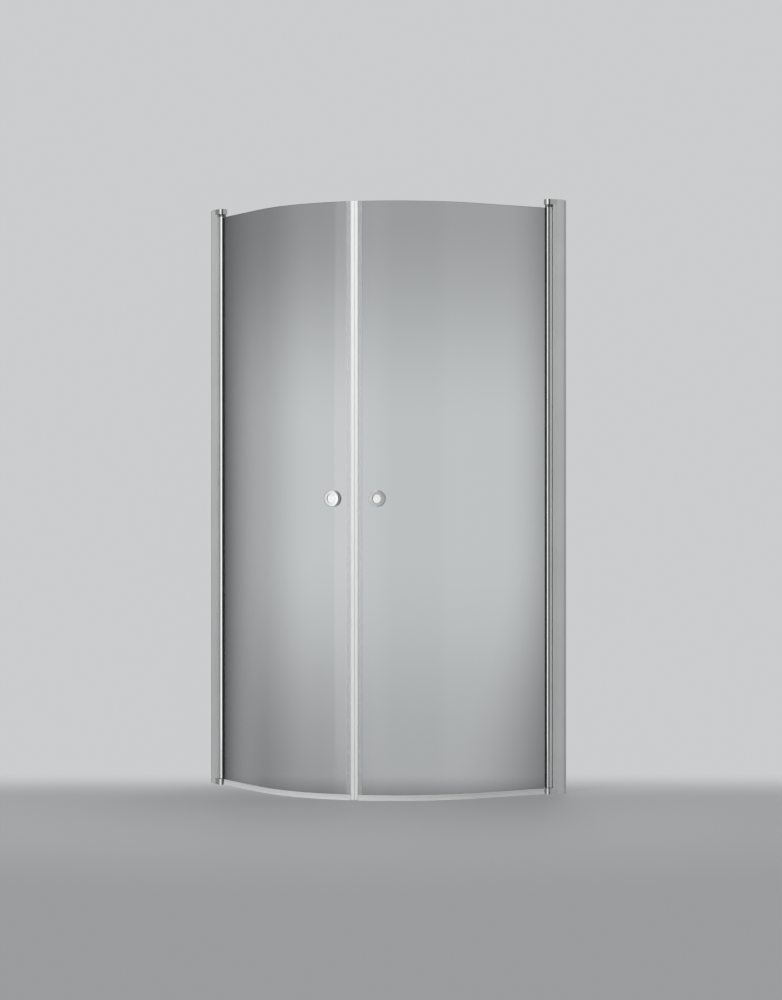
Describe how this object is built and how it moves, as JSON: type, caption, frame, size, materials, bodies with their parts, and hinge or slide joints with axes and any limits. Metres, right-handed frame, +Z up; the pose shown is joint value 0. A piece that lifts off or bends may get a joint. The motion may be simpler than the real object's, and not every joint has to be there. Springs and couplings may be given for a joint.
{
  "type": "quadrant shower enclosure",
  "caption": "Quadrant shower enclosure with two curved glass swing doors on wall-mounted pivot profiles, magnetic seam strips, drip seals and round knobs.",
  "frame": {"origin": "centre of the square footprint, on the floor", "axes": "+Z up; the left wall is the plane at minus X, the right wall the plane at plus Y, so the room corner is at minus X plus Y and the doors curve towards plus X and minus Y"},
  "size_m": [0.894, 0.894, 2],
  "materials": {
    "satin_aluminium": "satin silver anodised extrusion",
    "bright_aluminium": "bright silver anodised extrusion",
    "polished_aluminium": "high polish",
    "polished_metal": "polished, bright silver",
    "knob_chrome": "polished",
    "knob_insert": "satin, pale insert in the knobs",
    "steel": "stainless",
    "black_rubber": "matte",
    "black_plastic": "matte",
    "grey_plastic": "matte",
    "clear_glass": "clear toughened glass, 6 mm",
    "clear_pvc": "translucent clear PVC",
    "magnet_white": "matte, pale magnetic strip"
  },
  "bodies": {
    "wall_frame": {"left_wall_channel": "satin_aluminium", "left_cover_profile": "bright_aluminium", "left_hinge_seal": "black_rubber", "left_clamp_screws": "steel", "left_screw_covers": "grey_plastic", "left_top_hinge_block": "polished_metal", "left_bottom_hinge_block": "polished_metal", "left_block_screws": "steel", "left_top_pivot_pin": "steel", "left_bottom_pivot_pin": "steel", "right_wall_channel": "satin_aluminium", "right_cover_profile": "bright_aluminium", "right_hinge_seal": "black_rubber", "right_clamp_screws": "steel", "right_screw_covers": "grey_plastic", "right_top_hinge_block": "polished_metal", "right_bottom_hinge_block": "polished_metal", "right_block_screws": "steel", "right_top_pivot_pin": "steel", "right_bottom_pivot_pin": "steel"},
    "left_door": {"left_pivot_profile": "polished_aluminium", "left_glass_gasket": "black_rubber", "left_top_pivot_plug": "grey_plastic", "left_bottom_pivot_plug": "grey_plastic", "left_top_bush": "black_plastic", "left_bottom_bush": "black_plastic", "left_set_screws": "steel", "left_glass_pane": "clear_glass", "left_magnet_strip": "clear_pvc", "left_magnet_core": "magnet_white", "left_bottom_seal": "clear_pvc", "left_outer_knob": "knob_chrome", "left_inner_knob": "knob_chrome", "left_knob_inserts": "knob_insert", "left_knob_stud": "steel", "left_knob_sleeve": "clear_pvc", "left_knob_washers": "clear_pvc"},
    "right_door": {"right_pivot_profile": "polished_aluminium", "right_glass_gasket": "black_rubber", "right_top_pivot_plug": "grey_plastic", "right_bottom_pivot_plug": "grey_plastic", "right_top_bush": "black_plastic", "right_bottom_bush": "black_plastic", "right_set_screws": "steel", "right_glass_pane": "clear_glass", "right_magnet_strip": "clear_pvc", "right_magnet_core": "magnet_white", "right_bottom_seal": "clear_pvc", "right_outer_knob": "knob_chrome", "right_inner_knob": "knob_chrome", "right_knob_inserts": "knob_insert", "right_knob_stud": "steel", "right_knob_sleeve": "clear_pvc", "right_knob_washers": "clear_pvc"}
  },
  "joints": [
    {"name": "left_door_hinge", "type": "hinge", "parent": "wall_frame", "child": "left_door", "pos_m": [-0.385, -0.431, 0], "axis": [0, 0, -1], "range_deg": [-75, 95]},
    {"name": "right_door_hinge", "type": "hinge", "parent": "wall_frame", "child": "right_door", "pos_m": [0.431, 0.385, 0], "axis": [0, 0, 1], "range_deg": [-75, 95]}
  ]
}
